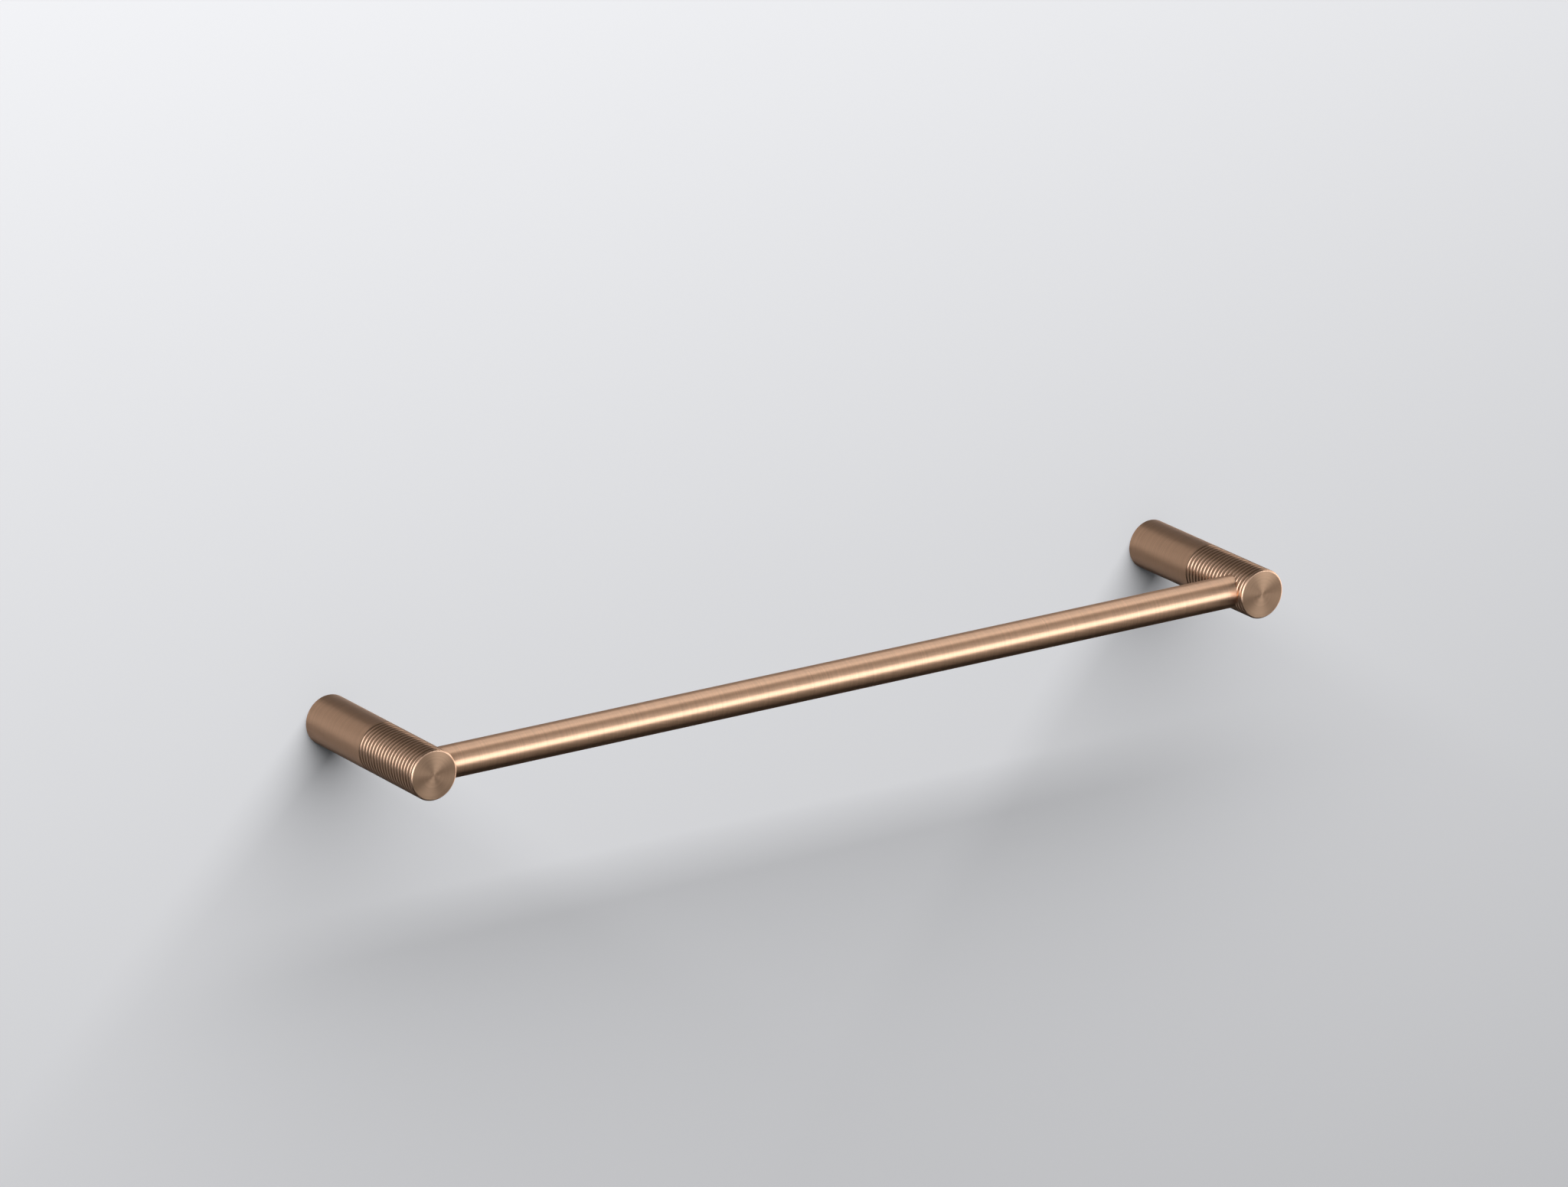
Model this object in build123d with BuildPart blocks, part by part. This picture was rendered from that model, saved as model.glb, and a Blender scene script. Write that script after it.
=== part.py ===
"""Wall-mounted towel rail: two turned posts with ringed ends carry a straight round bar.

Each post slips over a round boss that is screwed to the wall, and a grub screw from below
locks it there. The bar enters a blind cross bore near the front of each post, where a set
screw, driven from the wall end of the post, clamps it. A plug backs the tube under the screw.

Frame: origin on the wall plane midway between the posts, +X along the bar to the right as
seen from the room, +Y into the wall, +Z up. Millimetres.
"""

import os

from build123d import *

# Posts
post_spacing = 475.0  # post axis to post axis
post_diameter = 25.0
post_projection = 94.0  # wall to front face
front_edge_chamfer = 0.65

# Turned rings on the front half of each post
ring_count = 18
ring_pitch = 2.56
ring_depth = 0.6  # crest to valley; the V grooves meet at the crests
front_rim = 0.9  # last groove to the front face, chamfer included

# Bar and its plugs
bar_diameter = 16.0
bar_wall = 1.5
bar_setback = 12.5  # front face of the post back to the bar's axis
bar_engagement = 6.0  # bar end beyond the post's axis
plug_length = 24.0

# Wall bosses, one screw each
boss_diameter = 18.0
boss_length = 16.0
boss_bore_depth = 24.0
wall_screw_hole = 5.2

# Grub screws that lock the posts on their bosses
grub_diameter = 5.0
grub_setback = 8.0  # wall to the screw's axis
grub_recess = 0.3  # screw's socket end below the post's surface
grub_seat_depth = 1.5  # drilled seat in the boss
grub_socket = 2.5  # across flats
grub_socket_depth = 2.0

# Set screws that clamp the bar
set_screw_diameter = 6.0
set_screw_length = 10.0
set_screw_socket = 3.0  # across flats
set_screw_socket_depth = 3.5
key_bore_diameter = 8.0

# Clearances
boss_clearance = 0.1
bar_clearance = 0.05
bar_end_clearance = 0.2
plug_clearance = 0.02
thread_clearance = 0.05
clamp_clearance = 0.02  # set screw to the bar

# Derived sizes
post_radius = post_diameter / 2
bar_radius = bar_diameter / 2
boss_radius = boss_diameter / 2
plug_radius = bar_radius - bar_wall - plug_clearance
bar_axis_out = post_projection - bar_setback
bar_half_length = post_spacing / 2 + bar_engagement
set_screw_out = bar_axis_out - bar_radius - clamp_clearance - set_screw_length
grub_length = post_radius - grub_recess - (boss_radius - grub_seat_depth)
SIDES = {"left": -1, "right": 1}


def wall_plane(side, out=0.0):
    """Plane parallel to the wall on a post's axis; its normal points into the room."""
    return Plane(origin=(side * post_spacing / 2, -out, 0), x_dir=(1, 0, 0), z_dir=(0, -1, 0))


def profile_plane(side):
    """Plane through a post's axis; local x is the radius and local y the distance from the wall."""
    return Plane(origin=(side * post_spacing / 2, 0, 0), x_dir=(1, 0, 0), z_dir=(0, 0, -1))


def post_axis(side):
    return Axis((side * post_spacing / 2, 0, 0), (0, -1, 0))


def bar_plane(side, past_axis):
    """Plane across the bar, past_axis beyond a post's axis; its normal points along the bar to its middle."""
    origin = (side * (post_spacing / 2 + past_axis), -bar_axis_out, 0)
    return Plane(origin=origin, x_dir=(0, 0, 1), z_dir=(-side, 0, 0))


def grub_plane(side, below_axis):
    """Horizontal plane under a post at its grub screw; its normal points up to the boss."""
    return Plane(origin=(side * post_spacing / 2, -grub_setback, -below_axis), z_dir=(0, 0, 1))


def ring_outline():
    """Outline of the ringed stretch as (radius, distance from the wall), from the wall side to the front."""
    start = post_projection - front_rim - ring_count * ring_pitch
    points = [(post_radius, start)]
    for ring in range(ring_count):
        points.append((post_radius - ring_depth, start + (ring + 1 / 2) * ring_pitch))
        points.append((post_radius, start + (ring + 1) * ring_pitch))
    return points


def make_post(side):
    """One turned piece: plain barrel, V-grooved rings, flat front, and the bores for its fixings."""
    with BuildPart() as post:
        with BuildSketch(profile_plane(side)):
            with BuildLine():
                Polyline(
                    (0, 0),
                    (post_radius, 0),
                    *ring_outline(),
                    (post_radius, post_projection),
                    (0, post_projection),
                    close=True,
                )
            make_face()
        revolve(axis=post_axis(side))
        chamfer(post.faces().sort_by(Axis.Y)[0].edges(), front_edge_chamfer)
        with BuildSketch(wall_plane(side)):
            Circle(boss_radius + boss_clearance)
        extrude(amount=boss_bore_depth, mode=Mode.SUBTRACT)
        with BuildSketch(wall_plane(side)):
            Circle(key_bore_diameter / 2)
        extrude(amount=set_screw_out, mode=Mode.SUBTRACT)
        with BuildSketch(wall_plane(side)):
            Circle(set_screw_diameter / 2 + thread_clearance)
        extrude(amount=bar_axis_out, mode=Mode.SUBTRACT)
        with BuildSketch(bar_plane(side, bar_engagement + bar_end_clearance)):
            Circle(bar_radius + bar_clearance)
        extrude(amount=post_diameter, mode=Mode.SUBTRACT)
        with BuildSketch(grub_plane(side, post_radius)):
            Circle(grub_diameter / 2 + thread_clearance)
        extrude(amount=post_radius, mode=Mode.SUBTRACT)
    return post.part


def make_bar():
    """Straight round tube, open at both ends."""
    with BuildPart() as bar:
        with BuildSketch(bar_plane(-1, bar_engagement)):
            Circle(bar_radius)
            Circle(bar_radius - bar_wall, mode=Mode.SUBTRACT)
        extrude(amount=2 * bar_half_length)
    return bar.part


def make_plug(side):
    """Solid slug in the bar's end that keeps the tube round under the set screw."""
    with BuildPart() as plug:
        with BuildSketch(bar_plane(side, bar_engagement)):
            Circle(plug_radius)
        extrude(amount=plug_length)
    return plug.part


def make_set_screw(side):
    """Flat-point set screw with a hexagon socket, driven from the wall end of the post."""
    with BuildPart() as screw:
        with BuildSketch(wall_plane(side, set_screw_out)):
            Circle(set_screw_diameter / 2)
        extrude(amount=set_screw_length)
        with BuildSketch(wall_plane(side, set_screw_out)):
            RegularPolygon(set_screw_socket / 2, 6, major_radius=False)
        extrude(amount=set_screw_socket_depth, mode=Mode.SUBTRACT)
    return screw.part


def make_boss(side):
    """Turned boss on the wall: a through hole for the wall screw and a drilled seat for the grub screw."""
    with BuildPart() as boss:
        with BuildSketch(wall_plane(side)):
            Circle(boss_radius)
            Circle(wall_screw_hole / 2, mode=Mode.SUBTRACT)
        extrude(amount=boss_length)
        with BuildSketch(grub_plane(side, boss_radius)):
            Circle(grub_diameter / 2 + thread_clearance)
        extrude(amount=grub_seat_depth, mode=Mode.SUBTRACT)
    return boss.part


def make_grub_screw(side):
    """Flat-point grub screw with a hexagon socket, screwed up into the post from below."""
    with BuildPart() as screw:
        with BuildSketch(grub_plane(side, post_radius - grub_recess)):
            Circle(grub_diameter / 2)
        extrude(amount=grub_length)
        with BuildSketch(grub_plane(side, post_radius - grub_recess)):
            RegularPolygon(grub_socket / 2, 6, major_radius=False)
        extrude(amount=grub_socket_depth, mode=Mode.SUBTRACT)
    return screw.part


MAKERS = {
    "post": make_post,
    "bar_plug": make_plug,
    "bar_set_screw": make_set_screw,
    "wall_boss": make_boss,
    "grub_screw": make_grub_screw,
}

os.makedirs("parts", exist_ok=True)
pieces = {"bar": make_bar()}
for side_name, side in SIDES.items():
    for piece_name, maker in MAKERS.items():
        pieces[f"{side_name}_{piece_name}"] = maker(side)
for name, piece in pieces.items():
    piece.label = name
    export_step(piece, f"parts/{name}.step")
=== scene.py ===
import math

import bmesh
import bpy
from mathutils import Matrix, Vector


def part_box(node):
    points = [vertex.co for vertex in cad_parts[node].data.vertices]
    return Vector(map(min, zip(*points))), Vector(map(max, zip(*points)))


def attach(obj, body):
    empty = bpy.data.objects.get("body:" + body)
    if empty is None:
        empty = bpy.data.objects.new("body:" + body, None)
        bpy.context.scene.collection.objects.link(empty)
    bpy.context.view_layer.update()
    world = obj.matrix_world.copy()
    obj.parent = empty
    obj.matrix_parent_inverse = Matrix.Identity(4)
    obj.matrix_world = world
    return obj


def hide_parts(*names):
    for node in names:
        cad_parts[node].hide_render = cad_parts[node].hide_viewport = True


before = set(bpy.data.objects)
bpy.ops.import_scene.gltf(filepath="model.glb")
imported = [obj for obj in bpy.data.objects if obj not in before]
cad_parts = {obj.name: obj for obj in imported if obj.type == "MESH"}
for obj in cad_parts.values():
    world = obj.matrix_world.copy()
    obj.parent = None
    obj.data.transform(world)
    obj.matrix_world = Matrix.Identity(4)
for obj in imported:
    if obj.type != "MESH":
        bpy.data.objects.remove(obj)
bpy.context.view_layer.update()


# Wall bosses
# Each boss is a short steel spigot turned from bar and held to the wall by one screw.
# The post slips over it, so only its wall end and its screw hole ever show.
MM = 0.001
SIDES = ("left", "right")
STEEL = (0.55, 0.54, 0.52)
STEEL_ROUGHNESS = 0.32
STEEL_STREAKS = 0.35
PLAIN_ANISOTROPY = 0.6
QUARTER_TURN = 0.25  # turns the stretched highlight across the lathe lines
FINE_LINES = (4200.0, 70.0)  # lines per metre along the work, and their drift round it
BROAD_LINES = (1500.0, 45.0)
LINE_DETAIL = 3.0
LINE_BREAKUP = 0.6
FINE_SHARE = 0.5
DARK_LINE, LIGHT_LINE = 0.25, 0.75  # noise values taken as the darkest and the lightest line
SHADE_SWING = 0.6  # swings are shares of the streaks' strength
ROUGHNESS_SWING = 0.5
BUMP_SWING = 0.5
BUMP_DEPTH = 0.02 * MM


def wire(tree, value, socket):
    """Links a node's output to a socket, or sets the socket to a plain value."""
    if isinstance(value, bpy.types.NodeSocket):
        tree.links.new(value, socket)
    else:
        socket.default_value = value


def number_math(tree, operation, first, second):
    node = tree.nodes.new("ShaderNodeMath")
    node.operation = operation
    wire(tree, first, node.inputs[0])
    wire(tree, second, node.inputs[1])
    return node.outputs["Value"]


def vector_math(tree, operation, first, second):
    node = tree.nodes.new("ShaderNodeVectorMath")
    node.operation = operation
    wire(tree, first, node.inputs[0])
    wire(tree, second, node.inputs["Scale" if operation == "SCALE" else 1])
    return node.outputs["Value" if operation == "DOT_PRODUCT" else "Vector"]


def map_range(tree, value, start, end, low, high):
    node = tree.nodes.new("ShaderNodeMapRange")
    wire(tree, value, node.inputs["Value"])
    for socket, number in (("From Min", start), ("From Max", end), ("To Min", low), ("To Max", high)):
        node.inputs[socket].default_value = number
    return node


def turned_metal(name, axis, centre, colour, roughness, streaks, anisotropy=PLAIN_ANISOTROPY):
    """Metal with fine lathe lines round an X, Y or Z axis that passes through centre."""
    material = bpy.data.materials.new(name)
    material.use_nodes = True
    tree = material.node_tree
    shader = tree.nodes["Principled BSDF"]
    shader.inputs["Metallic"].default_value = 1.0
    shader.inputs["Anisotropic"].default_value = anisotropy
    shader.inputs["Anisotropic Rotation"].default_value = QUARTER_TURN
    tangent = tree.nodes.new("ShaderNodeTangent")
    tangent.direction_type = "RADIAL"
    tangent.axis = axis
    wire(tree, tangent.outputs["Tangent"], shader.inputs["Tangent"])

    along = Vector((axis == "X", axis == "Y", axis == "Z"))
    place = tree.nodes.new("ShaderNodeTexCoord").outputs["Object"]
    place = vector_math(tree, "SUBTRACT", place, centre)
    across = vector_math(tree, "MULTIPLY", place, Vector((1, 1, 1)) - along)
    radius = tree.nodes.new("ShaderNodeVectorMath")
    radius.operation = "LENGTH"
    wire(tree, across, radius.inputs[0])
    depth = vector_math(tree, "DOT_PRODUCT", place, along)
    station = number_math(tree, "ADD", radius.outputs["Value"], depth)

    def lathe_lines(lines_per_metre, drift):
        stretched = tree.nodes.new("ShaderNodeCombineXYZ")
        wire(tree, number_math(tree, "MULTIPLY", station, lines_per_metre), stretched.inputs["X"])
        drifting = vector_math(tree, "MULTIPLY", across, (drift, drift, drift))
        noise = tree.nodes.new("ShaderNodeTexNoise")
        noise.inputs["Scale"].default_value = 1.0
        noise.inputs["Detail"].default_value = LINE_DETAIL
        noise.inputs["Roughness"].default_value = LINE_BREAKUP
        spot = vector_math(tree, "ADD", stretched.outputs["Vector"], drifting)
        wire(tree, spot, noise.inputs["Vector"])
        return noise.outputs["Fac"]

    fine = lathe_lines(*FINE_LINES)
    broad = lathe_lines(*BROAD_LINES)
    fine_part = number_math(tree, "MULTIPLY", fine, FINE_SHARE)
    lines = number_math(tree, "ADD", fine_part, number_math(tree, "MULTIPLY", broad, 1 - FINE_SHARE))

    def swing(middle, share):
        low, high = middle * (1 - share * streaks), middle * (1 + share * streaks)
        return map_range(tree, lines, DARK_LINE, LIGHT_LINE, low, high).outputs["Result"]

    tint = vector_math(tree, "SCALE", colour, swing(1.0, SHADE_SWING))
    wire(tree, tint, shader.inputs["Base Color"])
    wire(tree, swing(roughness, ROUGHNESS_SWING), shader.inputs["Roughness"])
    bump = tree.nodes.new("ShaderNodeBump")
    bump.inputs["Strength"].default_value = BUMP_SWING * streaks
    bump.inputs["Distance"].default_value = BUMP_DEPTH
    wire(tree, fine, bump.inputs["Height"])
    wire(tree, bump.outputs["Normal"], shader.inputs["Normal"])
    return material


def axis_of(node):
    low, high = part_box(node)
    return (low + high) / 2


def dress(node, material):
    """Shows a CAD piece as it is, with its own material."""
    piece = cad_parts[node]
    piece.data.materials.clear()
    piece.data.materials.append(material)


for side in SIDES:
    boss = f"{side}_wall_boss"
    dress(boss, turned_metal(boss, "Y", axis_of(boss), STEEL, STEEL_ROUGHNESS, STEEL_STREAKS))


# Posts
# Each post is turned from one 25 mm bar: a plain barrel at the wall, a stretch of close rings,
# and a flat front with a broken edge. It is brushed in the lathe and coated copper-bronze.
BRONZE = (0.56, 0.335, 0.21)
BRONZE_ROUGHNESS = 0.36
BRONZE_STREAKS = 0.30
BRONZE_ANISOTROPY = 0.75
RING_ROUGHNESS = 0.30
RING_ANISOTROPY = 0.6
# The front face is drawn in a darker copy of the bronze: painted shade on the same coat.
SHADED_FACE_BRONZE = (0.37, 0.22, 0.13)
ROUND_STEPS = 160
RING_COUNT = 18
RING_PITCH = 2.56 * MM
RING_DEPTH = 0.6 * MM
RING_STEPS = 16
FRONT_RIM = 0.9 * MM
FRONT_EDGE = 0.9 * MM
EDGE_STEPS = 10
BOSS_CLEARANCE = 0.1 * MM
BOSS_BORE_SPARE = 8 * MM  # the post's bore runs on past the boss
KEY_BORE_RADIUS = 4.0 * MM
THREAD_CLEARANCE = 0.05 * MM
BAR_CLEARANCE = 0.05 * MM
BAR_END_CLEARANCE = 0.2 * MM
GRUB_BORE_START = 1 * MM  # under the post's surface
GRUB_BORE_LENGTH = 5 * MM
FACE_DEPTH = 0.0002 * MM  # what lies closer to the front plane is the front face
SHARP_EDGE = math.radians(40)


def turned(name, axis, origin, outline):
    """A closed solid turned about an X, Y or Z axis through origin, from (radius, distance along it) pairs."""
    mesh = bmesh.new()
    rings = []
    for radius, along in outline:
        ring = []
        for step in range(ROUND_STEPS if radius > 0 else 1):
            angle = 2 * math.pi * step / ROUND_STEPS
            u, v = radius * math.cos(angle), radius * math.sin(angle)
            spots = {"X": (along, u, v), "Y": (v, along, u), "Z": (u, v, along)}
            ring.append(mesh.verts.new(spots[axis]))
        rings.append(ring)
    hollow = outline[0][0] > 0
    for lower, upper in zip(rings, rings[1:] + rings[:1] if hollow else rings[1:]):
        for step in range(ROUND_STEPS):
            after = (step + 1) % ROUND_STEPS
            around = ((lower, step), (lower, after), (upper, after), (upper, step))
            corners = [ring[index % len(ring)] for ring, index in around]
            mesh.faces.new(list(dict.fromkeys(corners)))
    bmesh.ops.recalc_face_normals(mesh, faces=mesh.faces)
    data = bpy.data.meshes.new(name)
    mesh.to_mesh(data)
    mesh.free()
    piece = bpy.data.objects.new(name, data)
    piece.location = origin
    bpy.context.scene.collection.objects.link(piece)
    return piece


def bored(piece, cutters):
    """Takes each cutter's solid out of the piece."""
    for cutter in cutters:
        bore = piece.modifiers.new(cutter.name, "BOOLEAN")
        bore.operation = "DIFFERENCE"
        bore.solver = "EXACT"
        bore.object = cutter
    bpy.context.view_layer.update()
    shape = piece.evaluated_get(bpy.context.evaluated_depsgraph_get())
    data = bpy.data.meshes.new_from_object(shape)
    piece.modifiers.clear()
    piece.data = data
    for cutter in cutters:
        bpy.data.objects.remove(cutter)


def smooth(piece):
    piece.data.polygons.foreach_set("use_smooth", [True] * len(piece.data.polygons))
    piece.data.set_sharp_from_angle(angle=SHARP_EDGE)


bar_low, bar_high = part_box("bar")
bar_radius = (bar_high.z - bar_low.z) / 2
bar_axis_y = (bar_low.y + bar_high.y) / 2

for side in SIDES:
    post_low, post_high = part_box(f"{side}_post")
    boss_low, boss_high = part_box(f"{side}_wall_boss")
    screw_low, screw_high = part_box(f"{side}_bar_set_screw")
    grub_low, grub_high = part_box(f"{side}_grub_screw")
    post_radius = (post_high.x - post_low.x) / 2
    post_axis = Vector(((post_low.x + post_high.x) / 2, 0, 0))
    front = post_low.y
    rings_front = front + FRONT_RIM
    rings_back = rings_front + RING_COUNT * RING_PITCH

    # The outline starts inside at the bar and comes back along the outside, from wall to front
    thread_radius = (screw_high.x - screw_low.x) / 2 + THREAD_CLEARANCE
    bore_radius = (boss_high.x - boss_low.x) / 2 + BOSS_CLEARANCE
    bore_end = boss_low.y - BOSS_BORE_SPARE
    outline = [(0, bar_axis_y), (thread_radius, bar_axis_y), (thread_radius, screw_high.y)]
    outline += [(KEY_BORE_RADIUS, screw_high.y), (KEY_BORE_RADIUS, bore_end)]
    outline += [(bore_radius, bore_end), (bore_radius, 0), (post_radius, 0)]
    crest_radius = (RING_PITCH**2 / 4 + RING_DEPTH**2) / (2 * RING_DEPTH)
    for step in reversed(range(RING_COUNT * RING_STEPS + 1)):
        from_crest = abs((step / RING_STEPS + 0.5) % 1 - 0.5) * RING_PITCH
        fall = crest_radius - math.sqrt(crest_radius**2 - from_crest**2)
        outline.append((post_radius - fall, rings_front + RING_PITCH * step / RING_STEPS))
    for step in range(1, EDGE_STEPS + 1):
        turn = math.pi / 2 * step / EDGE_STEPS
        edge_radius = post_radius - FRONT_EDGE * (1 - math.cos(turn))
        outline.append((edge_radius, front + FRONT_EDGE * (1 - math.sin(turn))))
    outline.append((0, front))
    post = turned(f"{side}_ringed_post", "Y", post_axis, outline)

    inward = 1 if side == "left" else -1
    bar_end = (bar_low.x if side == "left" else bar_high.x) - inward * BAR_END_CLEARANCE
    socket_radius = bar_radius + BAR_CLEARANCE
    reach = inward * 2 * post_radius
    socket = [(0, 0), (socket_radius, 0), (socket_radius, reach), (0, reach)]
    bar_bore = turned(f"{side}_bar_bore", "X", Vector((bar_end, bar_axis_y, 0)), socket)
    grub_radius = (grub_high.x - grub_low.x) / 2 + THREAD_CLEARANCE
    grub_axis = Vector((post_axis.x, (grub_low.y + grub_high.y) / 2, -post_radius - GRUB_BORE_START))
    tapped = [(0, 0), (grub_radius, 0), (grub_radius, GRUB_BORE_LENGTH), (0, GRUB_BORE_LENGTH)]
    grub_bore = turned(f"{side}_grub_bore", "Z", grub_axis, tapped)
    bored(post, [bar_bore, grub_bore])
    smooth(post)

    # The face's darker bronze is painted shade.
    finishes = (
        ("barrel", BRONZE, BRONZE_ROUGHNESS, BRONZE_ANISOTROPY),
        ("face", SHADED_FACE_BRONZE, BRONZE_ROUGHNESS, BRONZE_ANISOTROPY),
        ("rings", BRONZE, RING_ROUGHNESS, RING_ANISOTROPY),
    )
    for region, colour, roughness, anisotropy in finishes:
        finish = (colour, roughness, BRONZE_STREAKS, anisotropy)
        post.data.materials.append(turned_metal(f"{side}_{region}", "Y", (0, 0, 0), *finish))
    for polygon in post.data.polygons:
        if polygon.center.y < front + FACE_DEPTH:
            polygon.material_index = 1
        elif rings_front < polygon.center.y < rings_back:
            polygon.material_index = 2
    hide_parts(f"{side}_post")
    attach(post, "root")


# Grub screws
# A black-oxide hexagon-socket screw goes up into each post close to the wall.
# Its end sits in the boss's drilled seat and locks the post.
OXIDE = (0.16, 0.155, 0.15)
OXIDE_ROUGHNESS = 0.42
OXIDE_STREAKS = 0.4

for side in SIDES:
    grub = f"{side}_grub_screw"
    dress(grub, turned_metal(grub, "Z", axis_of(grub), OXIDE, OXIDE_ROUGHNESS, OXIDE_STREAKS))


# Bar
# A straight 16 mm tube, brushed round its girth and coated like the posts.
# Its ends are pushed into the cross bores of the posts.
BAR_WALL = 1.5 * MM
# The bar's bronze is drawn lighter than the posts' bronze: painted light on the same coat.
LIT_BAR_BRONZE = (0.67, 0.398, 0.242)
BAR_ROUGHNESS = 0.42
BAR_ANISOTROPY = 0.9

bar_half = (bar_high.x - bar_low.x) / 2
bar_outline = [
    (bar_radius - BAR_WALL, -bar_half),
    (bar_radius, -bar_half),
    (bar_radius, bar_half),
    (bar_radius - BAR_WALL, bar_half),
]
rail = turned("brushed_rail", "X", Vector((0, bar_axis_y, 0)), bar_outline)
smooth(rail)
rail.data.materials.append(
    turned_metal("rail", "X", (0, 0, 0), LIT_BAR_BRONZE, BAR_ROUGHNESS, BRONZE_STREAKS, BAR_ANISOTROPY)
)
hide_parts("bar")
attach(rail, "root")


# Bar plugs and set screws
# A turned brass plug fills each end of the tube, and a black-oxide set screw, driven from
# the wall end of the post, clamps the tube down on it. None of them shows once assembled.
BRASS = (0.72, 0.55, 0.27)
BRASS_ROUGHNESS = 0.30

for side in SIDES:
    plug = f"{side}_bar_plug"
    dress(plug, turned_metal(plug, "X", axis_of(plug), BRASS, BRASS_ROUGHNESS, STEEL_STREAKS))
    screw = f"{side}_bar_set_screw"
    dress(screw, turned_metal(screw, "Y", axis_of(screw), OXIDE, OXIDE_ROUGHNESS, OXIDE_STREAKS))


# Wall
# The plain pale wall that the rail is fixed to. It belongs to the stage, not to the object.
# Seen from behind it is clear, so the wall ends of the posts can be looked at.
WALL_COLOUR = (0.80, 0.806, 0.828, 1)
WALL_ROUGHNESS = 0.9
WALL_HALF = 3.0
WALL_GAP = 0.1 * MM
WALL_NEAR = 1 * MM  # rays that start this close, at the posts' wall ends, pass through

wall_data = bpy.data.meshes.new("wall")
wall_corners = [(-WALL_HALF, WALL_GAP, -WALL_HALF), (WALL_HALF, WALL_GAP, -WALL_HALF)]
wall_corners += [(WALL_HALF, WALL_GAP, WALL_HALF), (-WALL_HALF, WALL_GAP, WALL_HALF)]
wall_data.from_pydata(wall_corners, [], [(0, 1, 2, 3)])
wall = bpy.data.objects.new("wall", wall_data)
bpy.context.scene.collection.objects.link(wall)

paint = bpy.data.materials.new("wall_paint")
paint.use_nodes = True
paint_tree = paint.node_tree
matt = paint_tree.nodes["Principled BSDF"]
matt.inputs["Base Color"].default_value = WALL_COLOUR
matt.inputs["Roughness"].default_value = WALL_ROUGHNESS
matt.inputs["Specular IOR Level"].default_value = 0.0
clear = paint_tree.nodes.new("ShaderNodeBsdfTransparent")
wall_side = paint_tree.nodes.new("ShaderNodeNewGeometry")
wall_path = paint_tree.nodes.new("ShaderNodeLightPath")
near = number_math(paint_tree, "LESS_THAN", wall_path.outputs["Ray Length"], WALL_NEAR)
unseen = number_math(paint_tree, "MAXIMUM", wall_side.outputs["Backfacing"], near)
wall_mix = paint_tree.nodes.new("ShaderNodeMixShader")
wire(paint_tree, unseen, wall_mix.inputs["Fac"])
wire(paint_tree, matt.outputs["BSDF"], wall_mix.inputs[1])
wire(paint_tree, clear.outputs["BSDF"], wall_mix.inputs[2])
wire(paint_tree, wall_mix.outputs["Shader"], paint_tree.nodes["Material Output"].inputs["Surface"])
wall_data.materials.append(paint)
wall.visible_glossy = False


# Lamps and room
# A broad panel over the wall throws the soft shadows down it, and a strip over the bar lights its top.
# The rest of the room is a few soft glows that the metal mirrors, and an even light on everything else.
DAYLIGHT = (0.84, 0.94, 1.08)
ROOM_LIGHT = (0.84, 0.845, 0.855)
PANEL_WIDTH = 5.4
PANEL_DEPTH = 1.9
PANEL_HEIGHT = 2.45
PANEL_LEFT = 0.5
PANEL_RADIANCE = 9.1
STRIP_LENGTH = 0.58
STRIP_WIDTH = 0.10
STRIP_PLACE = Vector((0.03, -0.061, 0.095))
STRIP_RADIANCE = 1.04
FILL = 0.12  # even light on matt surfaces
SHADE = 0.04  # what the metal mirrors between the glows
# Name, tint, direction, cosines where the glow is full and where it ends, level
GLOWS = (
    ("left", DAYLIGHT, (-0.82, -0.50, 0.28), 0.990, 0.90, 1.8),
    ("front left, top", DAYLIGHT, (-0.42, -0.74, 0.52), 0.985, 0.92, 2.0),
    ("front left, high", DAYLIGHT, (-0.61, -0.76, 0.20), 0.992, 0.90, 4.2),
    ("front left, low", DAYLIGHT, (-0.44, -0.89, -0.11), 0.980, 0.95, 6.4),
    ("front", DAYLIGHT, (0.14, -0.985, 0.02), 0.985, 0.95, 1.7),
    ("front right", DAYLIGHT, (0.64, -0.76, 0.03), 0.980, 0.95, 4.7),
    ("overhead", ROOM_LIGHT, (0.00, -0.17, 0.985), 0.960, 0.85, 0.09),
    ("right", ROOM_LIGHT, (0.99, 0.00, -0.14), 0.980, 0.83, 4.0),
    ("right, high", ROOM_LIGHT, (0.86, 0.00, 0.50), 0.978, 0.90, 1.8),
    ("right, low", ROOM_LIGHT, (0.80, -0.30, -0.52), 0.970, 0.90, 0.35),
    ("wall, right", ROOM_LIGHT, (0.62, 0.78, 0.08), 0.990, 0.93, 0.40),
    ("wall, left", ROOM_LIGHT, (-0.51, 0.76, 0.40), 0.976, 0.72, 0.58),
    ("wall, high", ROOM_LIGHT, (0.15, 0.70, 0.70), 0.990, 0.77, 0.27),
    ("wall, low", ROOM_LIGHT, (-0.47, 0.77, -0.42), 0.975, 0.73, 0.35),
)


def lamp(name, width, depth, radiance, place):
    """A rectangular lamp that shines straight down, unseen by the camera."""
    data = bpy.data.lights.new(name, "AREA")
    data.shape = "RECTANGLE"
    data.size = width
    data.size_y = depth
    data.energy = radiance * math.pi * width * depth
    light = bpy.data.objects.new(name, data)
    light.location = place
    light.visible_camera = False
    bpy.context.scene.collection.objects.link(light)
    return light


panel_place = (-PANEL_LEFT, -PANEL_DEPTH / 2, PANEL_HEIGHT)
panel = lamp("wall_panel", PANEL_WIDTH, PANEL_DEPTH, PANEL_RADIANCE, panel_place)
panel.visible_glossy = False

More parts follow.
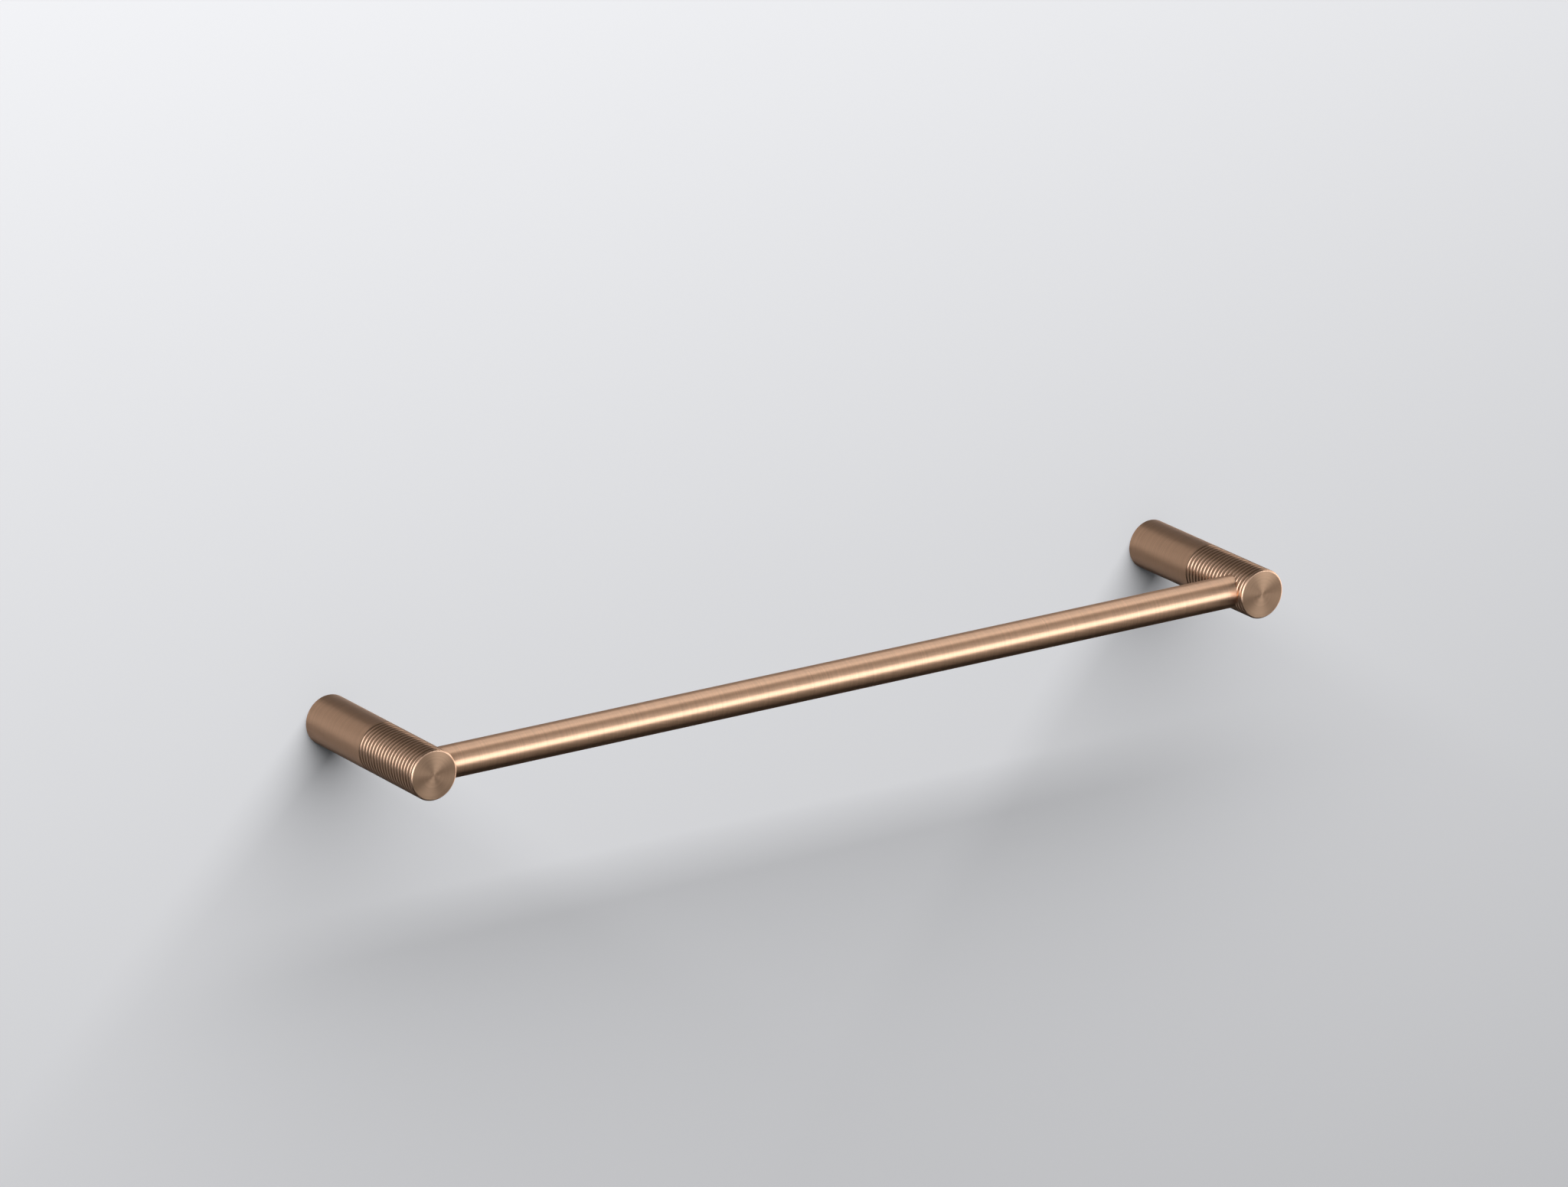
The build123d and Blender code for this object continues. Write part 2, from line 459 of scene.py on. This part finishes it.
strip = lamp("bar_strip", STRIP_LENGTH, STRIP_WIDTH, STRIP_RADIANCE, STRIP_PLACE)
strip.data.color = DAYLIGHT
strip_up = STRIP_PLACE - Vector((STRIP_PLACE.x, bar_axis_y, 0))
strip.rotation_mode = "QUATERNION"
strip.rotation_quaternion = strip_up.to_track_quat("Z", "Y")
strip.visible_diffuse = False
strip.light_linking.receiver_collection = bpy.data.collections.new("strip_lit")
strip.light_linking.receiver_collection.objects.link(rail)

room = bpy.data.worlds.new("room")
room.use_nodes = True
bpy.context.scene.world = room
room_tree = room.node_tree
gaze = room_tree.nodes.new("ShaderNodeTexCoord").outputs["Generated"]
room_path = room_tree.nodes.new("ShaderNodeLightPath")
mirrored = tuple(SHADE * channel for channel in ROOM_LIGHT)
for label, tint, towards, core, edge, level in GLOWS:
    facing = vector_math(room_tree, "DOT_PRODUCT", gaze, Vector(towards).normalized())
    glow = map_range(room_tree, facing, edge, core, 0.0, level)
    glow.label = label
    glow.interpolation_type = "SMOOTHSTEP"
    tinted = vector_math(room_tree, "SCALE", tint, glow.outputs["Result"])
    mirrored = vector_math(room_tree, "ADD", tinted, mirrored)
mirrored = vector_math(room_tree, "SCALE", mirrored, room_path.outputs["Is Glossy Ray"])
even = tuple(FILL * channel for channel in ROOM_LIGHT)
even = vector_math(room_tree, "SCALE", even, room_path.outputs["Is Diffuse Ray"])
seen = vector_math(room_tree, "SCALE", ROOM_LIGHT, room_path.outputs["Is Camera Ray"])
room_light = vector_math(room_tree, "ADD", vector_math(room_tree, "ADD", mirrored, even), seen)
wire(room_tree, room_light, room_tree.nodes["Background"].inputs["Color"])


# Camera
# The photograph's view: from the left and a little above, far off with a long lens.
# Its place was fitted to the outlines of the posts and the bar.
PHOTO_WIDTH = 2048
FOCAL_PIXELS = 13562
SENSOR_WIDTH = 36.0
FAR_END = 50.0
AZIMUTH = math.radians(-33.67)
ELEVATION = math.radians(18.60)
DISTANCE = 5.018
TARGET = Vector((20.0 * MM, 0, 14.68 * MM))

lens = bpy.data.cameras.new("camera")
lens.sensor_width = SENSOR_WIDTH
lens.lens = SENSOR_WIDTH * FOCAL_PIXELS / PHOTO_WIDTH
lens.clip_end = FAR_END
camera = bpy.data.objects.new("camera", lens)
level_back = Vector((math.sin(AZIMUTH), -math.cos(AZIMUTH), 0)) * math.cos(ELEVATION)
back = level_back + Vector((0, 0, math.sin(ELEVATION)))
camera.location = TARGET + back * DISTANCE
camera.rotation_mode = "QUATERNION"
camera.rotation_quaternion = back.to_track_quat("Z", "Y")
bpy.context.scene.collection.objects.link(camera)
bpy.context.scene.camera = camera
bpy.context.scene.view_settings.view_transform = "Standard"
bpy.context.scene.cycles.caustics_reflective = False
